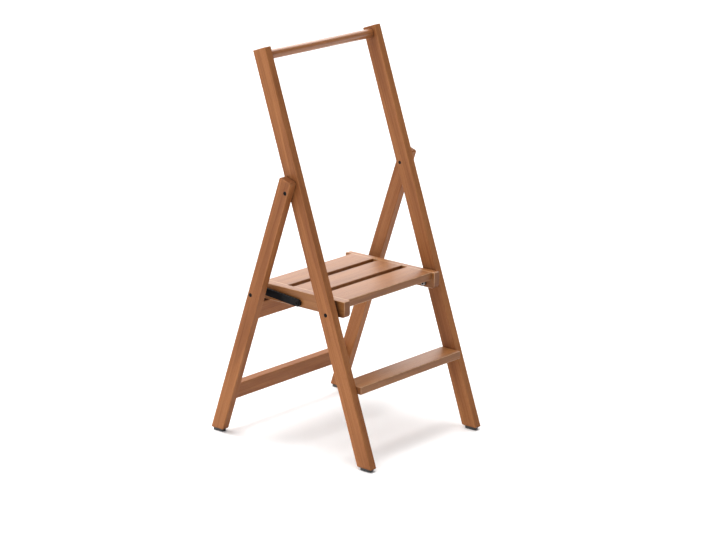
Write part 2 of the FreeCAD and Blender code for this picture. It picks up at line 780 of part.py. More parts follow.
def make_leg_pivot_hardware():
    head = "sizes.bolt_head_diameter / 2"
    under_head = "%s - sizes.bolt_head_height" % leg_outer
    tip = "%s + sizes.thin_nut_height" % half_inner
    y = places["leg_pivot_y"]
    z = places["leg_pivot_z"]
    turned_pair("leg_pivot_bolts", [
        (tip, "0"), (leg_outer, "0"), (leg_outer, head), (under_head, head),
        (under_head, bolt_radius), (tip, bolt_radius),
    ], y, z, leg_outer)
    barrel_end = "%s + sizes.barrel_length" % half_inner
    barrel = "sizes.barrel_diameter / 2"
    turned_pair("leg_pivot_barrel_nuts", [
        (half_inner, "0"), (tip, "0"), (tip, loose_bolt_radius), (barrel_end, loose_bolt_radius),
        (barrel_end, barrel), (half_inner, barrel),
    ], y, z)
    turned_pair("leg_pivot_washers", ring_outline(
        half_frame, half_frame + " + sizes.washer_thickness", loose_bolt_radius,
        "sizes.washer_diameter / 2"), y, z)


def make_seat_pivot_hardware():
    head = "sizes.bolt_head_diameter / 2"
    under_head = "%s - sizes.bolt_head_height" % half_frame
    washer_outer = "%s - sizes.side_clearance" % rail_inner
    washer_inner = "%s - sizes.seat_washer_thickness" % washer_outer
    nut_end = "%s - sizes.nut_height" % washer_inner
    tip = "%s - sizes.bolt_end" % nut_end
    y = places["seat_pivot_y"]
    z = places["seat_pivot_z"]
    turned_pair("seat_pivot_bolts", [
        (tip, "0"), (half_frame, "0"), (half_frame, head), (under_head, head),
        (under_head, bolt_radius), (tip, bolt_radius),
    ], y, z, half_frame)
    turned_pair("seat_pivot_spacers", ring_outline(
        "places.rail_outer + sizes.side_clearance", half_inner, loose_bolt_radius,
        "sizes.spacer_diameter / 2"), y, z)
    turned_pair("seat_pivot_washers", ring_outline(
        washer_inner, washer_outer, loose_bolt_radius, "sizes.seat_washer_diameter / 2"), y, z)

    # hexagon nuts on the inner ends of the bolts
    body = new_body("seat_pivot_nuts")
    sketch = new_sketch(body, "hexagon", "YZ_Plane", nut_end)
    draw_hexagon(sketch, "sizes.nut_width")
    draw_circle(sketch, "0", "0", loose_bolt)
    pad(body, sketch, "nut", "sizes.nut_height")
    make_pair(body)
    place(body, 0, y, z)


def make_link_hardware():
    head = "sizes.bolt_head_diameter / 2"
    under_head = "%s - sizes.bolt_head_height" % leg_outer
    nut_outer = "%s - sizes.side_clearance" % link_inner
    nut_inner = "%s - sizes.thin_nut_height" % nut_outer
    y = places["link_pivot_y"]
    z = places["link_pivot_z"]
    turned_pair("link_bolts", [
        (nut_inner, "0"), (leg_outer, "0"), (leg_outer, head), (under_head, head),
        (under_head, bolt_radius), (nut_inner, bolt_radius),
    ], y, z, leg_outer)
    turned_pair("link_spacers", ring_outline(
        "%s + sizes.side_clearance" % link_outer, "places.leg_inner", loose_bolt_radius,
        "sizes.spacer_diameter / 2"), y, z)
    turned_pair("link_nuts", ring_outline(
        nut_inner, nut_outer, loose_bolt_radius, "sizes.thin_nut_diameter / 2"), y, z)

    # threaded inserts in the rails, which take the links' front pins
    y = places["link_front_y"]
    z = places["link_front_z"]
    insert_end = "places.rail_outer - sizes.barrel_length"
    floor = "%s + sizes.thin_nut_height" % insert_end
    barrel = "sizes.barrel_diameter / 2"
    turned_pair("link_pin_inserts", [
        (insert_end, "0"), (floor, "0"), (floor, loose_bolt_radius),
        ("places.rail_outer", loose_bolt_radius), ("places.rail_outer", barrel),
        (insert_end, barrel),
    ], y, z)

    # front pins and washers, one set on each link
    washer_face = "places.rail_outer + sizes.link_clearance"
    pin_head = "sizes.pin_head_diameter / 2"
    head_end = "%s + sizes.pin_head_height" % link_outer
    pin = new_body("link_pin_right")
    turned(pin, [
        (washer_face, "0"), (head_end, "0"), (head_end, pin_head), (link_outer, pin_head),
        (link_outer, bolt_radius), (washer_face, bolt_radius),
    ])
    cut_socket(pin, head_end)
    place(pin, 0, y, z)
    washer = new_body("link_washer_right")
    turned(washer, ring_outline(washer_face, link_inner, loose_bolt_radius,
                                "sizes.spacer_diameter / 2"))
    place(washer, 0, y, z)
    return pin, washer


def make_glides(label, middle, foot_y):
    """A pair of floor glides: a flat pad under each foot, with a peg up into the wood."""
    body = new_body(label)
    sketch = new_sketch(body, "outline", "XY_Plane")
    half_length = "sizes.glide_length / 2"
    left = "%s - sizes.glide_width / 2" % middle
    right = "%s + sizes.glide_width / 2" % middle
    draw_outline(sketch, [
        (left, "-" + half_length), (right, "-" + half_length), (right, half_length),
        (left, half_length),
    ])
    pad(body, sketch, "plate", "sizes.glide_height")
    corners = straight_edges(body.Shape, along_wood)
    dress(body, "Fillet", "corners", corners, "sizes.glide_corner_radius")
    peg_sketch = new_sketch(body, "peg_circle", "XY_Plane", "sizes.glide_height")
    draw_circle(peg_sketch, middle, "0", "sizes.glide_peg_diameter")
    pad(body, peg_sketch, "peg", "sizes.glide_peg_length")
    make_pair(body)
    place(body, 0, foot_y)


def step_dowel_holes():
    holes = []
    for name in ("front", "rear"):
        holes.append(("places.step_dowel_%s_y - places.step_front_y" % name,
                      "-sizes.step_thickness / 2"))
    return holes


def build_stool():
    """Build every sub-part. Left-hand pieces are the mirrored right-hand ones."""
    handed = [make_upright(), make_leg(), make_rail(), make_link()]
    handed += make_link_hardware()
    for body in handed:
        mirror_body(body, body.Label.removesuffix("right") + "left")
    make_handle_bar()
    make_lower_step()
    make_dowels("step_dowels", step_dowel_holes(), half_inner, places["step_front_y"],
                sizes["step_height"])
    leg_foot = places["leg_foot_y"]
    lean = sizes["rear_lean"]
    for name, along in (("upper", "places.upper_stretcher_along"),
                        ("lower", "sizes.lower_stretcher_along")):
        height = "sizes.%s_stretcher_height" % name
        make_stretcher(name + "_stretcher", along, height)
        make_dowels(name + "_stretcher_dowels", stretcher_dowels(along, height),
                    "places.leg_inner", leg_foot, 0, lean)
    make_slats()
    make_slat_dowels()
    make_leg_pivot_hardware()
    make_seat_pivot_hardware()
    make_glides("front_glides", "(%s + sizes.upright_thickness / 2)" % half_inner,
                places["front_glide_y"])
    make_glides("rear_glides", "(places.leg_inner + sizes.leg_thickness / 2)",
                places["rear_glide_y"])
    doc.recompute()


def sub_parts():
    kinds = ("PartDesign::Body", "Part::Mirroring")
    return [item for item in doc.Objects if item.TypeId in kinds]


def check_document():
    """Stop if any feature failed or any sub-part isn't a sound solid."""
    for item in doc.Objects:
        if "Invalid" in item.State or "Error" in item.State:
            raise RuntimeError("%s failed: %s" % (item.Label, item.State))
    for part in sub_parts():
        if part.Shape.isNull() or not part.Shape.isValid() or not part.Shape.Solids:
            raise RuntimeError("%s has no sound solid" % part.Label)


def write_parts():
    os.makedirs("parts", exist_ok=True)
    for part in sub_parts():
        part.Shape.exportStep(os.path.join("parts", part.Label + ".step"))
        box = part.Shape.BoundBox
        print("%-26s %d solids, %.0f mm3, x %.1f..%.1f, y %.1f..%.1f, z %.1f..%.1f" % (
            part.Label, len(part.Shape.Solids), part.Shape.Volume, box.XMin, box.XMax,
            box.YMin, box.YMax, box.ZMin, box.ZMax))


build_stool()
check_document()
write_parts()
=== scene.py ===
import json
import math

import bmesh
import bpy
from mathutils import Matrix, Vector


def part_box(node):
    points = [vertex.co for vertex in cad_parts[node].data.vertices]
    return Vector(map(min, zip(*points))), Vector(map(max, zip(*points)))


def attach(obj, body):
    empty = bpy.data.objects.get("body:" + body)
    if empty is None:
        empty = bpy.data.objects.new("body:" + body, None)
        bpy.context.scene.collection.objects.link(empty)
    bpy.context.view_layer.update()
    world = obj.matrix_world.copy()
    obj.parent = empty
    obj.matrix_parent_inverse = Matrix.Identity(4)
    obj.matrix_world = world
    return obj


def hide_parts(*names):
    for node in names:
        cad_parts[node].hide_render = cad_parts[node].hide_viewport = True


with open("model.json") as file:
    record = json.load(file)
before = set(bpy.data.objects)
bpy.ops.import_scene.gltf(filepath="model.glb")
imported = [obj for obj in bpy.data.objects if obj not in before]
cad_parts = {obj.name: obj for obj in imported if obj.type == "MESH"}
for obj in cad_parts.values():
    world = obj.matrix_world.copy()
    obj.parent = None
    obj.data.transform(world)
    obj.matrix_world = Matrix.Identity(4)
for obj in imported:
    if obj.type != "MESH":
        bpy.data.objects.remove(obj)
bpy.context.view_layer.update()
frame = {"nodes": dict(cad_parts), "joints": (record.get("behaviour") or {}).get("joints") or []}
print("frame loaded")

# Folding step stool. The wooden boards and the links keep their CAD shapes and get their finish
# here; the slats, the handle bar, the glides and the bolts, nuts, pins and washers are made here.


def pivot(jointName):
    joint = next(item for item in frame["joints"] if item["name"] == jointName)
    return Vector(joint["pos_m"])


def addNode(tree, kind, **settings):
    node = tree.nodes.new(kind)
    for key, value in settings.items():
        setattr(node, key, value)
    return node


def plug(tree, node, socket, value):
    # a socket is linked, anything else becomes the input's own value
    target = node.inputs[socket]
    if isinstance(value, bpy.types.NodeSocket):
        tree.links.new(value, target)
    else:
        target.default_value = value


def calc(tree, operation, first, second=0.0, third=0.0):
    node = addNode(tree, "ShaderNodeMath", operation=operation)
    plug(tree, node, 0, first)
    plug(tree, node, 1, second)
    plug(tree, node, 2, third)
    return node.outputs[0]


def hypotenuse(tree, first, second):
    squares = calc(tree, "ADD", calc(tree, "POWER", first, 2.0), calc(tree, "POWER", second, 2.0))
    return calc(tree, "SQRT", squares)


def vectorCalc(tree, operation, first, second=(0, 0, 0)):
    node = addNode(tree, "ShaderNodeVectorMath", operation=operation)
    plug(tree, node, 0, first)
    plug(tree, node, 1, second)
    return node.outputs["Vector"]


def remap(tree, value, low, high, newLow=0.0, newHigh=1.0, shape="LINEAR"):
    node = addNode(tree, "ShaderNodeMapRange", interpolation_type=shape)
    plug(tree, node, "Value", value)
    plug(tree, node, "From Min", low)
    plug(tree, node, "From Max", high)
    plug(tree, node, "To Min", newLow)
    plug(tree, node, "To Max", newHigh)
    return node.outputs["Result"]


def mixColour(tree, factor, first, second):
    node = addNode(tree, "ShaderNodeMix", data_type="RGBA")
    plug(tree, node, 0, factor)
    plug(tree, node, 6, first)
    plug(tree, node, 7, second)
    return node.outputs[2]


def noise(tree, vector, scale, detail=3.0, roughness=0.5, distortion=0.0):
    node = addNode(tree, "ShaderNodeTexNoise")
    plug(tree, node, "Vector", vector)
    plug(tree, node, "Scale", scale)
    plug(tree, node, "Detail", detail)
    plug(tree, node, "Roughness", roughness)
    plug(tree, node, "Distortion", distortion)
    return node.outputs["Fac"]


def newGroup(name, takes, gives):
    tree = bpy.data.node_groups.new(name, "ShaderNodeTree")
    for socketName, kind in takes:
        tree.interface.new_socket(name=socketName, in_out="INPUT", socket_type="NodeSocket" + kind)
    for socketName, kind in gives:
        tree.interface.new_socket(name=socketName, in_out="OUTPUT", socket_type="NodeSocket" + kind)
    start = tree.nodes.new("NodeGroupInput")
    end = tree.nodes.new("NodeGroupOutput")
    return tree, start.outputs, end


def useGroup(tree, group, **values):
    node = addNode(tree, "ShaderNodeGroup", node_tree=group)
    for name, value in values.items():
        plug(tree, node, name, value)
    return node.outputs


# wood: a solid figure in the board's own directions, Z along the grain

growth = {
    "bands": (46, 0.055),                # five noises: scale across the grain, and its share along it
    "patches": (11, 0.3),
    "wander": (13, 0.16),
    "fibres": (950, 0.018),
    "specks": (1150, 0.14),
    "seedShift": (0.37, 0.61, 1.73),
    "pithX": (0.03, 0.055),              # how far the seed moves the pith, and its middle place
    "pithY": (0.02, 0.03),
    "wanderDepth": 0.013,
    "ringEnds": 0.1,                     # darkness where one ring meets the next
    "ringShades": ((0.62, 0.4), (0.9, 1.0)),  # place within a ring, and the darkness there
    "speckEdge": (0.6, 0.7),
    "bandShare": 0.42,                   # what each part adds to the darkness
    "patchShare": 0.24,
    "ringShare": 0.2,
    "fibreShare": 0.2,
    "ringGroove": -0.15,
}


def grainNoise(tree, place, kind, detail, roughness=0.5, distortion=0.0):
    scale, along = growth[kind]
    stretched = vectorCalc(tree, "MULTIPLY", place, (1, 1, along))
    return noise(tree, stretched, scale, detail, roughness, distortion)


def makeWoodFigure():
    tree, given, end = newGroup(
        "woodFigure",
        [("Vector", "Vector"), ("Seed", "Float"), ("Pale", "Color"), ("Mid", "Color"),
         ("Dark", "Color"), ("RingPitch", "Float"), ("Flecks", "Float")],
        [("Colour", "Color"), ("Roughness", "Float"), ("Height", "Float")])
    shift = addNode(tree, "ShaderNodeCombineXYZ")
    for axis, amount in zip("XYZ", growth["seedShift"]):
        plug(tree, shift, axis, calc(tree, "MULTIPLY", given["Seed"], amount))
    place = vectorCalc(tree, "ADD", given["Vector"], shift.outputs[0])

    # slow bands that run a hand's length along the board
    bands = grainNoise(tree, place, "bands", 3, 0.55, 0.5)
    patches = grainNoise(tree, place, "patches", 2)

    # growth rings round a pith that lies beside the board and wanders
    wander = grainNoise(tree, place, "wander", 2, 0.5, 0.2)
    apart = addNode(tree, "ShaderNodeSeparateXYZ")
    plug(tree, apart, 0, given["Vector"])
    pithX = calc(tree, "MULTIPLY_ADD", calc(tree, "SINE", given["Seed"]), *growth["pithX"])
    pithY = calc(tree, "MULTIPLY_ADD", calc(tree, "COSINE", given["Seed"]), *growth["pithY"])
    ringX = calc(tree, "ADD", apart.outputs["X"], pithX)
    ringY = calc(tree, "ADD", apart.outputs["Y"], pithY)
    span = hypotenuse(tree, ringX, ringY)
    wavy = calc(tree, "MULTIPLY_ADD", wander, growth["wanderDepth"], span)
    turn = calc(tree, "FRACT", calc(tree, "DIVIDE", wavy, given["RingPitch"]))
    ramp = addNode(tree, "ShaderNodeValToRGB")
    ramp.color_ramp.interpolation = "EASE"
    first, last = ramp.color_ramp.elements
    first.color = last.color = [growth["ringEnds"]] * 3 + [1]
    for position, shade in growth["ringShades"]:
        ramp.color_ramp.elements.new(position).color = [shade] * 3 + [1]
    plug(tree, ramp, "Fac", turn)
    rings = ramp.outputs["Color"]

    # fibres and the short dark flecks of beech
    fibres = grainNoise(tree, place, "fibres", 3, 0.6)
    specks = grainNoise(tree, place, "specks", 1)
    spots = remap(tree, specks, *growth["speckEdge"], shape="SMOOTHSTEP")
    flecks = calc(tree, "MULTIPLY", spots, given["Flecks"])

    tone = calc(tree, "MULTIPLY", remap(tree, patches, 0.3, 0.7), growth["patchShare"])
    tone = calc(tree, "MULTIPLY_ADD", remap(tree, fibres, 0.3, 0.7), growth["fibreShare"], tone)
    tone = calc(tree, "MULTIPLY_ADD", rings, growth["ringShare"], tone)
    tone = calc(tree, "MULTIPLY_ADD", remap(tree, bands, 0.3, 0.7), growth["bandShare"], tone)
    paleToMid = mixColour(tree, remap(tree, tone, 0.1, 0.55), given["Pale"], given["Mid"])
    midToDark = mixColour(tree, remap(tree, tone, 0.5, 1.05), paleToMid, given["Dark"])
    flecked = mixColour(tree, flecks, midToDark, given["Dark"])
    plug(tree, end, "Colour", flecked)
    plug(tree, end, "Roughness", remap(tree, fibres, 0.3, 0.7, 0.0, 1.0))
    ringed = calc(tree, "MULTIPLY_ADD", rings, growth["ringGroove"], fibres)
    plug(tree, end, "Height", calc(tree, "SUBTRACT", ringed, flecks))
    return tree


def makeBoardEdges():
    # 1 on a board's corners and long edges, fading to 0 at the width given
    tree, given, end = newGroup(
        "boardEdges",
        [("Vector", "Vector"), ("HalfSize", "Vector"), ("Width", "Float")],
        [("Mask", "Float")])
    inside = vectorCalc(tree, "SUBTRACT", given["HalfSize"], vectorCalc(tree, "ABSOLUTE", given["Vector"]))
    apart = addNode(tree, "ShaderNodeSeparateXYZ")
    plug(tree, apart, 0, inside)
    x, y, z = apart.outputs
    nearer = calc(tree, "MINIMUM", x, y)
    farther = calc(tree, "MAXIMUM", x, y)
    second = calc(tree, "MAXIMUM", nearer, calc(tree, "MINIMUM", farther, z))
    edge = calc(tree, "SUBTRACT", 1.0, remap(tree, second, 0.0, given["Width"], shape="SMOOTHSTEP"))
    uneven = noise(tree, given["Vector"], 60, 2)
    plug(tree, end, "Mask", calc(tree, "MULTIPLY", edge, remap(tree, uneven, 0.3, 0.7, 0.35, 1.0)))
    return tree


def makeCoatGrain():
    # the fine unevenness of a sprayed coat or a moulded surface
    tree, given, end = newGroup(
        "coatGrain",
        [("Vector", "Vector"), ("Scale", "Float"), ("Speckle", "Float")],
        [("Mask", "Float"), ("Height", "Float")])
    fine = noise(tree, given["Vector"], given["Scale"], 2, 0.5)
    broad = noise(tree, given["Vector"], 45, 2, 0.5)
    cells = addNode(tree, "ShaderNodeTexVoronoi", feature="SMOOTH_F1")
    plug(tree, cells, "Vector", given["Vector"])
    plug(tree, cells, "Scale", given["Scale"])
    dots = calc(tree, "MULTIPLY", cells.outputs["Distance"], given["Speckle"])
    plug(tree, end, "Mask", remap(tree, broad, 0.35, 0.65))
    plug(tree, end, "Height", calc(tree, "ADD", fine, dots))
    return tree


def makeTurnMarks():
    # rings left by turning round an X axis through the vector's origin
    tree, given, end = newGroup(
        "turnMarks",
        [("Vector", "Vector"), ("Pitch", "Float")],
        [("Mask", "Float"), ("Height", "Float")])
    apart = addNode(tree, "ShaderNodeSeparateXYZ")
    plug(tree, apart, 0, given["Vector"])
    radius = hypotenuse(tree, apart.outputs["Y"], apart.outputs["Z"])
    path = calc(tree, "ADD", radius, calc(tree, "MULTIPLY", apart.outputs["X"], 0.3))
    count = calc(tree, "DIVIDE", path, given["Pitch"])
    stains = noise(tree, given["Vector"], 900, 2)
    marks = addNode(tree, "ShaderNodeTexNoise", noise_dimensions="1D")
    plug(tree, marks, "W", count)
    plug(tree, marks, "Scale", 1.0)
    plug(tree, marks, "Detail", 2.0)
    marked = calc(tree, "MULTIPLY", marks.outputs["Fac"], 0.6)
    plug(tree, end, "Mask", calc(tree, "MULTIPLY_ADD", stains, 0.4, marked))
    plug(tree, end, "Height", marks.outputs["Fac"])
    return tree


woodFigure = makeWoodFigure()
boardEdges = makeBoardEdges()
coatGrain = makeCoatGrain()
turnMarks = makeTurnMarks()
print("shared material groups made")


def newMaterial(name):
    material = bpy.data.materials.new(name)
    material.use_nodes = True
    tree = material.node_tree
    return material, tree, tree.nodes["Principled BSDF"]


def addBump(tree, surface, height, distance, strength):
    bump = addNode(tree, "ShaderNodeBump")
    plug(tree, bump, "Height", height)
    plug(tree, bump, "Distance", distance)
    plug(tree, bump, "Strength", strength)
    plug(tree, surface, "Normal", bump.outputs["Normal"])


stain = {
    "pale": (0.36, 0.145, 0.05, 1),      # thin stain over pale growth
    "mid": (0.262, 0.096, 0.031, 1),
    "dark": (0.145, 0.042, 0.012, 1),    # late growth and flecks
    "edgeWearAndHighlight": (0.43, 0.195, 0.07, 1),      # rounded edges, where the stain is rubbed thin; the treads' lighter one is a painted highlight
    "endGrain": (0.14, 0.044, 0.013, 1),
    "endGrainShare": 0.6,
    "endGrainRougher": 0.15,
    "ringPitch": 0.0042,
    "flecks": 0.45,
    "edgeWidth": 0.0026,
    "edgeShare": 0.4,
    "roughness": (0.46, 0.58),
    "lacquer": (0.08, 0.32),             # how much lacquer there is, and how rough
    "index": 1.22,
    "grainDepth": 0.00016,
    "paintedShade": (0.012, 0.003, 0.001, 1),  # painted shade: the near-black the wood darkens to where other parts are close
    "paintedShadeReach": 0.032,
    "paintedShadeStrength": 0.85,
    "paintedShadeOpen": (0.1, 0.55),          # how open a place is where the painted shade is darkest and where it ends
}
# the treads' cream edge colour, mixed in strongly, is a painted highlight along their rounded edges
treadLook = dict(stain, pale=(0.3, 0.125, 0.038, 1), mid=(0.235, 0.09, 0.025, 1),
                 dark=(0.13, 0.042, 0.011, 1), edgeWearAndHighlight=(0.66, 0.42, 0.26, 1), edgeShare=0.75,
                 roughness=(0.38, 0.48), lacquer=(0.1, 0.36), index=1.33)
handleLook = dict(stain, edgeShare=0.0, roughness=(0.3, 0.42), lacquer=(0.45, 0.14), index=1.4)
bareBeech = dict(stain, pale=(0.62, 0.42, 0.24, 1), mid=(0.52, 0.33, 0.18, 1),
                 dark=(0.36, 0.2, 0.1, 1), edgeWearAndHighlight=(0.62, 0.42, 0.24, 1),
                 endGrain=(0.3, 0.17, 0.08, 1), ringPitch=0.0018)


def boardFrame(nodes, lean, grainAxis):
    # the middle, the turn and half the size of one or more nodes, with the grain along local Z
    spin = Matrix.Rotation(math.radians(lean), 3, "X")
    if grainAxis == "X":
        spin = spin @ Matrix.Rotation(math.radians(90), 3, "Y")
    if grainAxis == "Y":
        spin = spin @ Matrix.Rotation(math.radians(-90), 3, "X")
    inverse = spin.inverted()
    points = [inverse @ vertex.co for node in nodes for vertex in frame["nodes"][node].data.vertices]
    low = Vector([min(point[axis] for point in points) for axis in range(3)])
    high = Vector([max(point[axis] for point in points) for axis in range(3)])
    return spin @ ((low + high) / 2), spin.to_euler(), (high - low) / 2


def stainedBeech(name, board, seed, look, slatStep=0.0):
    # slatStep is how much further the seed is for each next slat of a piece with slat numbers
    middle, spin, half = board
    material, tree, surface = newMaterial(name)
    where = addNode(tree, "ShaderNodeTexCoord")
    mapping = addNode(tree, "ShaderNodeMapping", vector_type="TEXTURE")
    plug(tree, mapping, "Vector", where.outputs["Object"])
    plug(tree, mapping, "Location", middle)
    plug(tree, mapping, "Rotation", spin)
    place = mapping.outputs[0]
    number = seed
    if slatStep:
        slat = addNode(tree, "ShaderNodeAttribute", attribute_name="slatNumber")
        number = calc(tree, "MULTIPLY_ADD", slat.outputs["Fac"], slatStep, seed)
    figure = useGroup(tree, woodFigure, Vector=place, Seed=number, Pale=look["pale"],
                      Mid=look["mid"], Dark=look["dark"], RingPitch=look["ringPitch"],
                      Flecks=look["flecks"])
    edges = useGroup(tree, boardEdges, Vector=place, HalfSize=half, Width=look["edgeWidth"])
    # rounded edges: real wear on the frame, a painted highlight on the treads and seat
    wornAndLitEdges = mixColour(tree, calc(tree, "MULTIPLY", edges["Mask"], look["edgeShare"]),
                       figure["Colour"], look["edgeWearAndHighlight"])
    facing = addNode(tree, "ShaderNodeVectorRotate", rotation_type="EULER_XYZ", invert=True)
    plug(tree, facing, "Vector", where.outputs["Normal"])
    plug(tree, facing, "Rotation", spin)
    apart = addNode(tree, "ShaderNodeSeparateXYZ")
    plug(tree, apart, 0, facing.outputs[0])
    ends = remap(tree, calc(tree, "ABSOLUTE", apart.outputs["Z"]), 0.6, 0.85)
    endShare = calc(tree, "MULTIPLY", ends, look["endGrainShare"])
    colour = mixColour(tree, endShare, wornAndLitEdges, look["endGrain"])
    # painted shade: ambient occlusion darkens the colour in gaps, joints and near other parts
    shade = addNode(tree, "ShaderNodeAmbientOcclusion", samples=8)
    plug(tree, shade, "Distance", look["paintedShadeReach"])
    paintedShadeShare = remap(tree, shade.outputs["AO"], *look["paintedShadeOpen"], look["paintedShadeStrength"], 0.0)
    plug(tree, surface, "Base Color", mixColour(tree, paintedShadeShare, colour, look["paintedShade"]))
    rough = remap(tree, figure["Roughness"], 0.0, 1.0, *look["roughness"])
    plug(tree, surface, "Roughness", calc(tree, "MULTIPLY_ADD", ends, look["endGrainRougher"], rough))
    lacquer, lacquerRoughness = look["lacquer"]
    surface.inputs["Coat Weight"].default_value = lacquer
    surface.inputs["Coat Roughness"].default_value = lacquerRoughness
    surface.inputs["IOR"].default_value = look["index"]
    addBump(tree, surface, figure["Height"], look["grainDepth"], 0.5)
    return material


def paint(node, material):
    shape = frame["nodes"][node]
    for slot in shape.material_slots:
        slot.material = material


uprightLean = -18.9
legLean = 19.2
woodenBoards = [                         # node, lean about X, grain axis, seed, look
    ("upright_left", uprightLean, "Z", 1.0, stain),
    ("upright_right", uprightLean, "Z", 7.4, stain),
    ("rear_leg_left", legLean, "Z", 3.2, stain),
    ("rear_leg_right", legLean, "Z", 11.9, stain),
    ("upper_stretcher", legLean, "X", 5.1, stain),
    ("lower_stretcher", legLean, "X", 13.3, stain),
    ("lower_step", 0.0, "X", 17.7, treadLook),
    ("seat_rail_left", 0.0, "Y", 21.2, treadLook),
    ("seat_rail_right", 0.0, "Y", 24.6, treadLook),
]
woodenDowels = [                         # node, seed
    ("step_dowels", 31.0),
    ("upper_stretcher_dowels", 32.0),
    ("lower_stretcher_dowels", 33.0),
    ("slat_dowels", 34.0),
]

for node, lean, grainAxis, seed, look in woodenBoards:
    board = boardFrame([node], lean, grainAxis)
    paint(node, stainedBeech("stained_" + node, board, seed, look))
for node, seed in woodenDowels:
    board = boardFrame([node], 0.0, "X")
    paint(node, stainedBeech("bare_" + node, board, seed, bareBeech))
print("wooden boards and dowels stained")


steel = {
    "coat": (0.0035, 0.0036, 0.004, 1),
    "coatWorn": (0.008, 0.0082, 0.009, 1),
    "coatRoughness": (0.36, 0.48),
    "coatGrain": (1500.0, 0.2),          # scale, and how speckled
    "coatBump": (0.0001, 0.35),          # depth and strength
    "index": 1.18,
    "oxide": (0.004, 0.004, 0.0042, 1),
    "oxideBright": (0.009, 0.0088, 0.0086, 1),
    "oxideRoughness": (0.4, 0.6),
    "zinc": (0.55, 0.56, 0.57, 1),
    "zincDull": (0.38, 0.385, 0.39, 1),
    "zincRoughness": (0.25, 0.45),
    "zincMetallic": 0.9,
    "turnPitch": 0.00018,
    "turnBump": (0.00004, 0.4),
}
blackPlastic = {
    "tone": (0.02, 0.02, 0.021, 1),
    "dusty": (0.036, 0.035, 0.034, 1),
    "roughness": (0.45, 0.6),
    "grain": (2600.0, 0.8),
    "bump": (0.00008, 0.4),
}


def coatedSteel():
    material, tree, surface = newMaterial("coated_steel")
    where = addNode(tree, "ShaderNodeTexCoord")
    scale, speckle = steel["coatGrain"]
    grain = useGroup(tree, coatGrain, Vector=where.outputs["Object"], Scale=scale, Speckle=speckle)
    plug(tree, surface, "Base Color", mixColour(tree, grain["Mask"], steel["coat"], steel["coatWorn"]))
    rough = remap(tree, grain["Mask"], 0.0, 1.0, *steel["coatRoughness"])
    plug(tree, surface, "Roughness", rough)
    surface.inputs["IOR"].default_value = steel["index"]
    addBump(tree, surface, grain["Height"], *steel["coatBump"])
    return material


def turnedSteel(name, centre, plain, bright, roughness, metallic):
    material, tree, surface = newMaterial(name)
    where = addNode(tree, "ShaderNodeTexCoord")
    mapping = addNode(tree, "ShaderNodeMapping", vector_type="TEXTURE")
    plug(tree, mapping, "Vector", where.outputs["Object"])
    plug(tree, mapping, "Location", (0, centre.y, centre.z))
    marks = useGroup(tree, turnMarks, Vector=mapping.outputs[0], Pitch=steel["turnPitch"])
    plug(tree, surface, "Base Color", mixColour(tree, marks["Mask"], plain, bright))
    plug(tree, surface, "Roughness", remap(tree, marks["Mask"], 0.2, 0.8, *roughness))
    surface.inputs["Metallic"].default_value = metallic
    surface.inputs["IOR"].default_value = steel["index"]
    addBump(tree, surface, marks["Height"], *steel["turnBump"])
    return material


def mouldedPlastic():
    material, tree, surface = newMaterial("moulded_plastic")
    where = addNode(tree, "ShaderNodeTexCoord")
    scale, speckle = blackPlastic["grain"]
    grain = useGroup(tree, coatGrain, Vector=where.outputs["Object"], Scale=scale, Speckle=speckle)
    colour = mixColour(tree, grain["Mask"], blackPlastic["tone"], blackPlastic["dusty"])
    plug(tree, surface, "Base Color", colour)
    rough = remap(tree, grain["Mask"], 0.0, 1.0, *blackPlastic["roughness"])
    plug(tree, surface, "Roughness", rough)
    addBump(tree, surface, grain["Height"], *blackPlastic["bump"])
    return material


legPivot = pivot("leg_fold")
seatPivot = pivot("seat_fold")
linkPivot = pivot("link_right_fold")
low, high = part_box("link_pin_right")
pinPivot = (low + high) / 2

coated = coatedSteel()
plastic = mouldedPlastic()


def blackened(name, centre):
    return turnedSteel("oxide_" + name, centre, steel["oxide"], steel["oxideBright"],
                       steel["oxideRoughness"], 0.0)


def zincPlated(name, centre):
    return turnedSteel("zinc_" + name, centre, steel["zincDull"], steel["zinc"],
                       steel["zincRoughness"], steel["zincMetallic"])


for node in ("link_left", "link_right"):
    paint(node, coated)
paint("leg_pivot_barrel_nuts", blackened("leg_pivot_barrel_nuts", legPivot))
paint("link_pin_inserts", zincPlated("link_pin_inserts", pinPivot))
print("links and hidden metal painted")


def treeInput(modifier, name, value):
    socket = next(item for item in modifier.node_group.interface.items_tree
                  if item.item_type == "SOCKET" and item.in_out == "INPUT" and item.name == name)
    modifier[socket.identifier] = value


sharpFrom = 35.0                         # degrees between two faces at which their edge stays sharp


def smoothPiece(name, mesh, body):
    mesh.shade_smooth()
    mesh.set_sharp_from_angle(angle=math.radians(sharpFrom))
    piece = bpy.data.objects.new(name, mesh)
    bpy.context.scene.collection.objects.link(piece)
    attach(piece, body)
    return piece


def frozen(source, name, body):
    # the plain mesh that the source's modifier makes
    graph = bpy.context.evaluated_depsgraph_get()
    mesh = bpy.data.meshes.new_from_object(source.evaluated_get(graph), preserve_all_data_layers=True,
                                           depsgraph=graph)
    bpy.data.objects.remove(source)
    mesh.name = name
    return smoothPiece(name, mesh, body)


def newGeometryTree(name, takes):
    tree = bpy.data.node_groups.new(name, "GeometryNodeTree")
    tree.interface.new_socket(name="Geometry", in_out="INPUT", socket_type="NodeSocketGeometry")
    for socketName, kind in takes:
        tree.interface.new_socket(name=socketName, in_out="INPUT", socket_type="NodeSocket" + kind)
    tree.interface.new_socket(name="Geometry", in_out="OUTPUT", socket_type="NodeSocketGeometry")
    start = tree.nodes.new("NodeGroupInput")
    end = tree.nodes.new("NodeGroupOutput")
    return tree, start.outputs, end


# seat slats

slats = {
    "nodes": ["seat_slat_front", "seat_slat_middle", "seat_slat_rear"],
    "edgeRadius": 0.0025,
    "edgeSteps": 5,
    "seed": 41.0,
    "seedStep": 3.7,
}


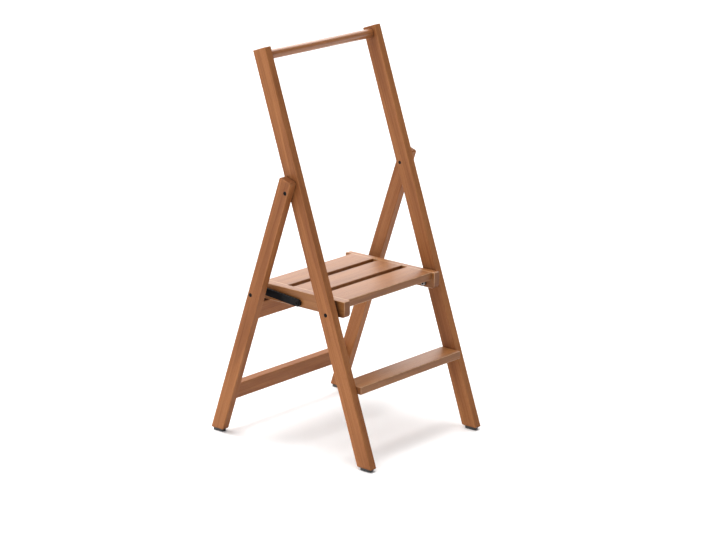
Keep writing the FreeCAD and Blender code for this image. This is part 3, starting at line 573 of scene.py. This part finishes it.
def makeSlatTree():
    tree, given, end = newGeometryTree("seatSlats", [
        ("Count", "Int"), ("Length", "Float"), ("Thickness", "Float"), ("FrontWidth", "Float"),
        ("WidthStep", "Float"), ("Gap", "Float"), ("EdgeRadius", "Float"), ("EdgeSteps", "Int"),
        ("FrontTop", "Vector"), ("Finish", "Material")])
    outline = addNode(tree, "GeometryNodeCurvePrimitiveQuadrilateral")
    plug(tree, outline, "Width", given["FrontWidth"])
    plug(tree, outline, "Height", given["Thickness"])
    rounded = addNode(tree, "GeometryNodeFilletCurve", mode="POLY")
    plug(tree, rounded, "Curve", outline.outputs[0])
    plug(tree, rounded, "Count", given["EdgeSteps"])
    plug(tree, rounded, "Radius", given["EdgeRadius"])
    halfLength = calc(tree, "DIVIDE", given["Length"], 2.0)
    start = addNode(tree, "ShaderNodeCombineXYZ")
    plug(tree, start, "X", calc(tree, "MULTIPLY", halfLength, -1.0))
    stop = addNode(tree, "ShaderNodeCombineXYZ")
    plug(tree, stop, "X", halfLength)
    spine = addNode(tree, "GeometryNodeCurvePrimitiveLine")
    plug(tree, spine, "Start", start.outputs[0])
    plug(tree, spine, "End", stop.outputs[0])
    board = addNode(tree, "GeometryNodeCurveToMesh")
    plug(tree, board, "Curve", spine.outputs[0])
    plug(tree, board, "Profile Curve", rounded.outputs[0])
    plug(tree, board, "Fill Caps", True)

    # the rear half of each slat moves back by what its own width differs from the front one's
    place = addNode(tree, "GeometryNodeInputPosition")
    apart = addNode(tree, "ShaderNodeSeparateXYZ")
    plug(tree, apart, 0, place.outputs[0])
    rearHalf = addNode(tree, "GeometryNodeStoreNamedAttribute", data_type="FLOAT", domain="POINT")
    plug(tree, rearHalf, "Geometry", board.outputs[0])
    plug(tree, rearHalf, "Name", "rearHalf")
    plug(tree, rearHalf, "Value", calc(tree, "GREATER_THAN", apart.outputs["Y"], 0.0))

    row = addNode(tree, "GeometryNodeMeshLine")
    plug(tree, row, "Count", given["Count"])
    plug(tree, row, "Offset", (0, 0, 0))
    number = addNode(tree, "GeometryNodeInputIndex").outputs[0]
    lessOne = calc(tree, "SUBTRACT", number, 1.0)
    stepsBefore = calc(tree, "DIVIDE", calc(tree, "MULTIPLY", number, lessOne), 2.0)
    gained = calc(tree, "MULTIPLY", given["WidthStep"], stepsBefore)
    pitch = calc(tree, "ADD", given["FrontWidth"], given["Gap"])
    startY = calc(tree, "MULTIPLY_ADD", number, pitch, gained)
    centreY = calc(tree, "MULTIPLY_ADD", given["FrontWidth"], 0.5, startY)
    offset = addNode(tree, "ShaderNodeCombineXYZ")
    plug(tree, offset, "Y", centreY)
    plug(tree, offset, "Z", calc(tree, "MULTIPLY", given["Thickness"], -0.5))
    spread = addNode(tree, "GeometryNodeSetPosition")
    plug(tree, spread, "Geometry", row.outputs[0])
    plug(tree, spread, "Offset", vectorCalc(tree, "ADD", offset.outputs[0], given["FrontTop"]))
    copies = addNode(tree, "GeometryNodeInstanceOnPoints")
    plug(tree, copies, "Points", spread.outputs[0])
    plug(tree, copies, "Instance", rearHalf.outputs[0])
    numbered = addNode(tree, "GeometryNodeStoreNamedAttribute", data_type="FLOAT", domain="INSTANCE")
    plug(tree, numbered, "Geometry", copies.outputs[0])
    plug(tree, numbered, "Name", "slatNumber")
    plug(tree, numbered, "Value", addNode(tree, "GeometryNodeInputIndex").outputs[0])
    real = addNode(tree, "GeometryNodeRealizeInstances")
    plug(tree, real, "Geometry", numbered.outputs[0])
    behind = addNode(tree, "GeometryNodeInputNamedAttribute", data_type="FLOAT")
    plug(tree, behind, "Name", "rearHalf")
    which = addNode(tree, "GeometryNodeInputNamedAttribute", data_type="FLOAT")
    plug(tree, which, "Name", "slatNumber")
    widen = addNode(tree, "ShaderNodeCombineXYZ")
    plug(tree, widen, "Y", calc(tree, "MULTIPLY", behind.outputs[0],
                                calc(tree, "MULTIPLY", which.outputs[0], given["WidthStep"])))
    sized = addNode(tree, "GeometryNodeSetPosition")
    plug(tree, sized, "Geometry", real.outputs[0])
    plug(tree, sized, "Offset", widen.outputs[0])
    finish = addNode(tree, "GeometryNodeSetMaterial")
    plug(tree, finish, "Geometry", sized.outputs[0])
    plug(tree, finish, "Material", given["Finish"])
    plug(tree, end, "Geometry", finish.outputs[0])
    return tree


def makeSeatSlats():
    nodes = slats["nodes"]
    low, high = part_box(nodes[0])
    middleLow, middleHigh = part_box(nodes[1])
    board = boardFrame(nodes, 0.0, "X")
    finish = stainedBeech("stained_seat_slats", board, slats["seed"], treadLook, slats["seedStep"])
    source = bpy.data.objects.new("slatSource", bpy.data.meshes.new("slatSource"))
    bpy.context.scene.collection.objects.link(source)
    modifier = source.modifiers.new("seatSlats", "NODES")
    modifier.node_group = makeSlatTree()
    treeInput(modifier, "Count", len(nodes))
    treeInput(modifier, "Length", high.x - low.x)
    treeInput(modifier, "Thickness", high.z - low.z)
    treeInput(modifier, "FrontWidth", high.y - low.y)
    treeInput(modifier, "WidthStep", (middleHigh.y - middleLow.y) - (high.y - low.y))
    treeInput(modifier, "Gap", middleLow.y - high.y)
    treeInput(modifier, "EdgeRadius", slats["edgeRadius"])
    treeInput(modifier, "EdgeSteps", slats["edgeSteps"])
    treeInput(modifier, "FrontTop", (0.0, low.y, high.z))
    treeInput(modifier, "Finish", finish)
    piece = frozen(source, "seatSlats", "seat")
    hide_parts(*nodes)


makeSeatSlats()
print("seat slats made")


# turned pieces, the handle bar first

handle = {
    "sides": 72,
    "tenonShare": 16 / 24,               # the tenon's radius, as a share of the bar's
    "shoulderRound": 0.0008,
    "shoulderMiddle": 0.3,               # where the round's middle point lies, as a share of its size
    "seed": 52.0,
}


def flatRadius(radius, flats, angle):
    # a circle cut by a hexagon of this width across its flats, or left round at 0
    if not flats:
        return radius
    part = (angle + math.pi / 6) % (math.pi / 3) - math.pi / 6
    return min(radius, flats / 2 / math.cos(part))


def turnedPiece(name, outline, sides, centre=Vector(), closed=False):
    # spins (x, radius, flats) points round the X axis through the centre
    shape = bmesh.new()
    rings = []
    for point in outline:
        x, radius = point[:2]
        flats = point[2] if len(point) > 2 else 0
        if radius == 0:
            rings.append([shape.verts.new((x, centre.y, centre.z))])
            continue
        ring = []
        for step in range(sides):
            angle = 2 * math.pi * step / sides
            reach = flatRadius(radius, flats, angle)
            ring.append(shape.verts.new((x, centre.y + reach * math.cos(angle),
                                         centre.z + reach * math.sin(angle))))
        rings.append(ring)
    pairs = list(zip(rings, rings[1:]))
    if closed:
        pairs.append((rings[-1], rings[0]))
    for first, second in pairs:
        for step in range(sides):
            after = (step + 1) % sides
            if len(first) == 1:
                shape.faces.new((first[0], second[step], second[after]))
            elif len(second) == 1:
                shape.faces.new((first[step], second[0], first[after]))
            else:
                shape.faces.new((first[step], second[step], second[after], first[after]))
    bmesh.ops.recalc_face_normals(shape, faces=shape.faces)
    mesh = bpy.data.meshes.new(name)
    shape.to_mesh(mesh)
    shape.free()
    return mesh


def addPiece(name, mesh, material, body):
    mesh.materials.append(material)
    return smoothPiece(name, mesh, body)


def makeHandleBar():
    low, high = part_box("handle_bar")
    centre = (low + high) / 2
    radius = (high.z - low.z) / 2
    inner = -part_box("upright_left")[1].x
    tenon = radius * handle["tenonShare"]
    size = handle["shoulderRound"]
    middle = size * handle["shoulderMiddle"]
    half = [(0.0, radius), (inner - size, radius), (inner - middle, radius - middle),
            (inner, radius - size), (inner, tenon), (high.x, tenon), (high.x, 0.0)]
    outline = [(-x, reach) for x, reach in reversed(half)] + half[1:]
    board = boardFrame(["handle_bar"], 0.0, "X")
    finish = stainedBeech("stained_handle", board, handle["seed"], handleLook)
    mesh = turnedPiece("handleBar", outline, handle["sides"], centre)
    piece = addPiece("handleBar", mesh, finish, "front_frame")
    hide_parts("handle_bar")


makeHandleBar()
print("handle bar turned")


# bolts, nuts, washers and spacers come in pairs, one on each side of the stool

hardware = {
    "sides": 48,
    "shank": 0.003,
    "head": 0.005,
    "headHeight": 0.003,
    "headRound": 0.0006,
    "headUnderRound": 0.0002,
    "socket": 0.004,                     # across the flats of the hexagon hole
    "socketDepth": 0.002,
    "socketPoint": 0.0006,               # how much deeper the drill point goes
    "tipChamfer": 0.0003,
    "threadPitch": 0.001,
    "threadDepth": 0.0004,
    "threadPlaces": (0.25, 0.6, 1.1),    # first groove, crest and next groove, in pitches from the tip
    "nutFlats": 0.01,
    "nutChamfer": 0.0007,
    "nutFaceShare": 0.48,                # radius of the nut's flat face, as a share of its flats
    "nutSteps": 4,
    "thinNut": 0.006,
    "washer": 0.006,
    "spacer": 0.007,
    "ringRound": 0.0003,
    "loose": 0.00305,                    # radius of the washers' and nuts' holes
    "pinHead": 0.006,
    "pinHeadHeight": 0.0022,
    "pinRim": 0.0004,
    "pinTopShare": 0.62,                 # radius of the dome's flat top, as a share of the socket
    "pinDomeSteps": 6,
}


def makePairTree():
    # the second copy is turned half round about the upright axis, onto the left side
    tree, given, end = newGeometryTree("pairedHardware", [
        ("Piece", "Object"), ("Centre", "Vector"), ("Finish", "Material")])
    piece = addNode(tree, "GeometryNodeObjectInfo")
    plug(tree, piece, "Object", given["Piece"])
    row = addNode(tree, "GeometryNodeMeshLine")
    plug(tree, row, "Count", 2)
    plug(tree, row, "Start Location", given["Centre"])
    plug(tree, row, "Offset", (0, 0, 0))
    spin = addNode(tree, "ShaderNodeCombineXYZ")
    number = addNode(tree, "GeometryNodeInputIndex").outputs[0]
    plug(tree, spin, "Z", calc(tree, "MULTIPLY", number, math.pi))
    turned = addNode(tree, "FunctionNodeEulerToRotation")
    plug(tree, turned, 0, spin.outputs[0])
    copies = addNode(tree, "GeometryNodeInstanceOnPoints")
    plug(tree, copies, "Points", row.outputs[0])
    plug(tree, copies, "Instance", piece.outputs["Geometry"])
    plug(tree, copies, "Rotation", turned.outputs[0])
    real = addNode(tree, "GeometryNodeRealizeInstances")
    plug(tree, real, "Geometry", copies.outputs[0])
    finish = addNode(tree, "GeometryNodeSetMaterial")
    plug(tree, finish, "Geometry", real.outputs[0])
    plug(tree, finish, "Material", given["Finish"])
    plug(tree, end, "Geometry", finish.outputs[0])
    return tree


pairTree = makePairTree()


def makePair(node, mesh, centre, finish, body):
    # the mesh is the right-hand one, with the pair's middle at its origin
    single = bpy.data.objects.new(node + "_single", mesh)
    source = bpy.data.objects.new(node + "_source", bpy.data.meshes.new(node + "_source"))
    for item in (single, source):
        bpy.context.scene.collection.objects.link(item)
    modifier = source.modifiers.new("pairedHardware", "NODES")
    modifier.node_group = pairTree
    treeInput(modifier, "Piece", single)
    treeInput(modifier, "Centre", (0.0, centre.y, centre.z))
    treeInput(modifier, "Finish", finish)
    piece = frozen(source, node + "_made", body)
    bpy.data.objects.remove(single)
    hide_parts(node)


def rightRange(node):
    # where the right-hand one of a pair starts and ends along X
    reach = [vertex.co.x for vertex in frame["nodes"][node].data.vertices if vertex.co.x > 0]
    return min(reach), max(reach)


def rim(x, radius, size, way, steps=4):
    # a rounded rim from the end face at x to the side; way is the side the face looks to
    turns = [math.pi / 2 * step / steps for step in range(steps + 1)]
    return [(x - way * size * (1 - math.cos(turn)), radius - size * (1 - math.sin(turn)))
            for turn in turns]


def socketHole(x):
    # a hexagon hole into the head whose face is at x
    depth = hardware["socketDepth"]
    flats = hardware["socket"]
    wide = hardware["head"]
    deepest = depth + hardware["socketPoint"]
    return [(x, wide, flats), (x - depth, wide, flats), (x - deepest, 0.0)]


def boltOutline(tip, face, threads):
    shank = hardware["shank"]
    pitch = hardware["threadPitch"]
    groove = shank - hardware["threadDepth"]
    first, crest, root = hardware["threadPlaces"]
    points = [(tip, 0.0), (tip, groove - hardware["tipChamfer"]), (tip + pitch * first, groove)]
    for turn in range(threads):
        points.append((tip + pitch * (turn + crest), shank))
        points.append((tip + pitch * (turn + root), groove))
    under = face - hardware["headHeight"]
    points += [(tip + pitch * (threads + crest), shank), (under, shank)]
    points += rim(under, hardware["head"], hardware["headUnderRound"], -1, 2)
    points += reversed(rim(face, hardware["head"], hardware["headRound"], 1))
    return points + socketHole(face)


def ringOutline(start, stop, radius):
    size = hardware["ringRound"]
    hole = hardware["loose"]
    points = rim(start, radius, size, -1) + list(reversed(rim(stop, radius, size, 1)))
    return points + [(stop, hole), (start, hole)]


def nutOutline(start, stop):
    flats = hardware["nutFlats"]
    corner = flats / 2 / math.cos(math.pi / 6)
    chamfer = hardware["nutChamfer"]
    face = flats * hardware["nutFaceShare"]
    steps = hardware["nutSteps"]
    first = []
    last = []
    for step in range(steps + 1):
        share = step / steps
        radius = face + (corner - face) * share
        first.append((start + chamfer * share, radius, flats))
        last.append((stop - chamfer * share, radius, flats))
    hole = hardware["loose"]
    return first + last[::-1] + [(stop, hole), (start, hole)]


def makePairs():
    sides = hardware["sides"]
    for node, centre, body, threads in (("leg_pivot_bolts", legPivot, "rear_frame", 0),
                                        ("link_bolts", linkPivot, "rear_frame", 1),
                                        ("seat_pivot_bolts", seatPivot, "front_frame", 6)):
        mesh = turnedPiece(node, boltOutline(*rightRange(node), threads), sides)
        makePair(node, mesh, centre, blackened(node, centre), body)
    for node, centre, body, radius, slotName in (
            ("leg_pivot_washers", legPivot, "front_frame", "washer", "black_plastic"),
            ("seat_pivot_spacers", seatPivot, "front_frame", "spacer", "black_plastic"),
            ("seat_pivot_washers", seatPivot, "front_frame", "washer", "black_steel"),
            ("link_spacers", linkPivot, "rear_frame", "spacer", "black_plastic"),
            ("link_nuts", linkPivot, "rear_frame", "thinNut", "black_steel")):
        outline = ringOutline(*rightRange(node), hardware[radius])
        finish = plastic if slotName == "black_plastic" else blackened(node, centre)
        makePair(node, turnedPiece(node, outline, sides, closed=True), centre, finish, body)
    node = "seat_pivot_nuts"
    mesh = turnedPiece(node, nutOutline(*rightRange(node)), sides, closed=True)
    makePair(node, mesh, seatPivot, zincPlated(node, seatPivot), "front_frame")


def makeLinkPins():
    # the links' front pins and washers move with their own links
    sides = hardware["sides"]
    shank = hardware["shank"]
    wide = hardware["pinHead"]
    inner = hardware["socket"] * hardware["pinTopShare"]
    chamfer = hardware["tipChamfer"]
    steps = hardware["pinDomeSteps"]
    for side, way in (("left", -1), ("right", 1)):
        low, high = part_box("link_pin_" + side)
        start, face = sorted((abs(low.x), abs(high.x)))
        under = face - hardware["pinHeadHeight"]
        domeStart = under + hardware["pinRim"]
        outline = [(start, 0.0), (start, shank - chamfer), (start + chamfer, shank), (under, shank),
                   (under, wide), (domeStart, wide)]
        for step in range(1, steps + 1):
            turn = math.pi / 2 * step / steps
            outline.append((domeStart + (face - domeStart) * math.sin(turn),
                            inner + (wide - inner) * math.cos(turn)))
        outline += socketHole(face)
        body = "link_" + side
        outline = [(way * point[0], *point[1:]) for point in outline]
        mesh = turnedPiece(body + "_pin", outline, sides, pinPivot)
        pin = addPiece(body + "_pin", mesh, blackened("pin_" + side, pinPivot), body)
        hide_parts("link_pin_" + side)
        low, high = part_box("link_washer_" + side)
        ring = ringOutline(low.x, high.x, hardware["spacer"])
        mesh = turnedPiece(body + "_washer", ring, sides, pinPivot, closed=True)
        washer = addPiece(body + "_washer", mesh, zincPlated("washer_" + side, pinPivot), body)
        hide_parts("link_washer_" + side)


makePairs()
makeLinkPins()
print("bolts, nuts, washers and pins made")


# floor pads with their pegs

glides = {
    "cornerRadius": 0.005,
    "cornerSteps": 8,
    "levels": [(0.0, 0.0012), (0.0004, 0.0005), (0.0012, 0.0001), (0.002, 0.0), (0.0052, 0.0),
               (0.0062, 0.0002), (0.0065, 0.0005)],  # height, and how far the outline is drawn in there
    "pegRadius": 0.0025,
    "pegChamfer": 0.0006,
    "pegSides": 24,
}


def stackRings(shape, rings):
    # a closed stack of rings with the same number of points, the lowest first
    for first, second in zip(rings, rings[1:]):
        for step in range(len(first)):
            after = (step + 1) % len(first)
            shape.faces.new((first[step], first[after], second[after], second[step]))
    shape.faces.new(rings[0][::-1])
    shape.faces.new(rings[-1])


def makeGlides(node, body):
    low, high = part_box(node)
    inner, outer = rightRange(node)
    middleX = (inner + outer) / 2
    halfX = (outer - inner) / 2
    halfY = (high.y - low.y) / 2
    corner = glides["cornerRadius"]
    steps = glides["cornerSteps"]
    shape = bmesh.new()
    rings = []
    for z, drawnIn in glides["levels"]:
        reach = corner - drawnIn
        ring = []
        for quarter, (wayX, wayY) in enumerate(((1, 1), (-1, 1), (-1, -1), (1, -1))):
            for step in range(steps + 1):
                angle = math.pi / 2 * (quarter + step / steps)
                ring.append(shape.verts.new((middleX + wayX * (halfX - corner) + reach * math.cos(angle),
                                             wayY * (halfY - corner) + reach * math.sin(angle), z)))
        rings.append(ring)
    stackRings(shape, rings)
    wide = glides["pegRadius"]
    chamfer = glides["pegChamfer"]
    sides = glides["pegSides"]
    top = glides["levels"][-1][0]
    rings = []
    for z, radius in ((top, wide), (high.z - chamfer, wide), (high.z, wide - chamfer)):
        ring = []
        for step in range(sides):
            angle = 2 * math.pi * step / sides
            ring.append(shape.verts.new((middleX + radius * math.cos(angle), radius * math.sin(angle), z)))
        rings.append(ring)
    stackRings(shape, rings)
    mesh = bpy.data.meshes.new(node)
    shape.to_mesh(mesh)
    shape.free()
    makePair(node, mesh, Vector((0, (low.y + high.y) / 2, 0)), plastic, body)


makeGlides("front_glides", "front_frame")
makeGlides("rear_glides", "rear_frame")
print("glides made")


# floor, light and camera

studio = {
    "floorSize": 60.0,
    "floorTone": (0.985, 0.982, 0.984, 1),
    "floorCloud": (0.95, 0.95, 0.95, 1),
    "floorCloudShare": 0.15,
    "floorRoughness": (0.75, 0.85),
    "floorGloss": 0.2,
    "skyForCamera": 1.0,
    "skyDark": 0.3,
    "skyBright": 1.8,
    "skyEdge": (-0.35, 0.35),
    "skyToward": (-0.3, 0.95, 0.0),      # where the bright part of the room is
    "softboxToward": (0.25, 0.3, 0.92),  # a bright panel overhead that only shows in gloss
    "softboxEdge": (0.7, 0.85),
    "softboxBright": 5.0,
    "topSun": (1.45, 4.0, 24.0, -175.0),  # strength, tilt from straight down, softness, compass
    "backSun": (0.5, 58.0, 14.0, -175.0),
    "sunPlace": (0.0, 0.0, 3.0),
}


def makeFloor():
    half = studio["floorSize"] / 2
    mesh = bpy.data.meshes.new("floor")
    corners = [(-half, -half, 0), (half, -half, 0), (half, half, 0), (-half, half, 0)]
    mesh.from_pydata(corners, [], [(0, 1, 2, 3)])
    material, tree, surface = newMaterial("floor_paper")
    where = addNode(tree, "ShaderNodeTexCoord")
    cloud = noise(tree, where.outputs["Object"], 2.0, 3)
    share = remap(tree, cloud, 0.3, 0.7, 0.0, studio["floorCloudShare"])
    plug(tree, surface, "Base Color", mixColour(tree, share, studio["floorTone"], studio["floorCloud"]))
    plug(tree, surface, "Roughness", remap(tree, cloud, 0.3, 0.7, *studio["floorRoughness"]))
    surface.inputs["Specular IOR Level"].default_value = studio["floorGloss"]
    mesh.materials.append(material)
    floor = bpy.data.objects.new("floor", mesh)
    bpy.context.scene.collection.objects.link(floor)


def agreement(tree, first, second):
    # 1 where two directions are the same, 0 where they are square to each other
    node = addNode(tree, "ShaderNodeVectorMath", operation="DOT_PRODUCT")
    plug(tree, node, 0, first)
    plug(tree, node, 1, second)
    return node.outputs["Value"]


def makeSky():
    world = bpy.data.worlds.new("studio")
    bpy.context.scene.world = world
    world.use_nodes = True
    tree = world.node_tree
    background = tree.nodes["Background"]
    where = addNode(tree, "ShaderNodeTexCoord")
    toBack = agreement(tree, where.outputs["Generated"], studio["skyToward"])
    glow = remap(tree, toBack, *studio["skyEdge"], studio["skyDark"], studio["skyBright"], "SMOOTHSTEP")
    toPanel = agreement(tree, where.outputs["Generated"], studio["softboxToward"])
    panel = remap(tree, toPanel, *studio["softboxEdge"], 0.0, studio["softboxBright"], "SMOOTHSTEP")
    ray = addNode(tree, "ShaderNodeLightPath")
    lit = calc(tree, "MULTIPLY_ADD", panel, ray.outputs["Is Glossy Ray"], glow)
    strength = addNode(tree, "ShaderNodeMix", data_type="FLOAT")
    plug(tree, strength, 0, ray.outputs["Is Camera Ray"])
    plug(tree, strength, 2, lit)
    plug(tree, strength, 3, studio["skyForCamera"])
    plug(tree, background, "Strength", strength.outputs[0])
    background.inputs["Color"].default_value = (1, 1, 1, 1)


def makeSun(name):
    strength, tilt, softness, compass = studio[name]
    lamp = bpy.data.lights.new(name, "SUN")
    lamp.energy = strength
    lamp.angle = math.radians(softness)
    sun = bpy.data.objects.new(name, lamp)
    sun.rotation_euler = (math.radians(tilt), 0, math.radians(compass))
    sun.location = studio["sunPlace"]
    bpy.context.scene.collection.objects.link(sun)


photoView = {
    "place": (-4.5859, -4.0103, 2.1609),
    "tilt": 76.827,
    "compass": -48.967,
    "roll": 0.106,
    "lens": 126.66,
    "sensor": 36.0,
    "shift": (0.0037, -0.1713),          # the photo is cropped off the lens axis
}


def makeCamera():
    lens = bpy.data.cameras.new("photo")
    lens.lens = photoView["lens"]
    lens.sensor_width = photoView["sensor"]
    lens.shift_x, lens.shift_y = photoView["shift"]
    camera = bpy.data.objects.new("photo", lens)
    camera.location = photoView["place"]
    compass = Matrix.Rotation(math.radians(photoView["compass"]), 3, "Z")
    tilt = Matrix.Rotation(math.radians(photoView["tilt"]), 3, "X")
    roll = Matrix.Rotation(math.radians(photoView["roll"]), 3, "Z")
    camera.rotation_euler = (compass @ tilt @ roll).to_euler()
    bpy.context.scene.collection.objects.link(camera)
    bpy.context.scene.camera = camera


makeFloor()
makeSky()
makeSun("topSun")
makeSun("backSun")
makeCamera()
bpy.context.scene.view_settings.view_transform = "Standard"
print("studio ready")
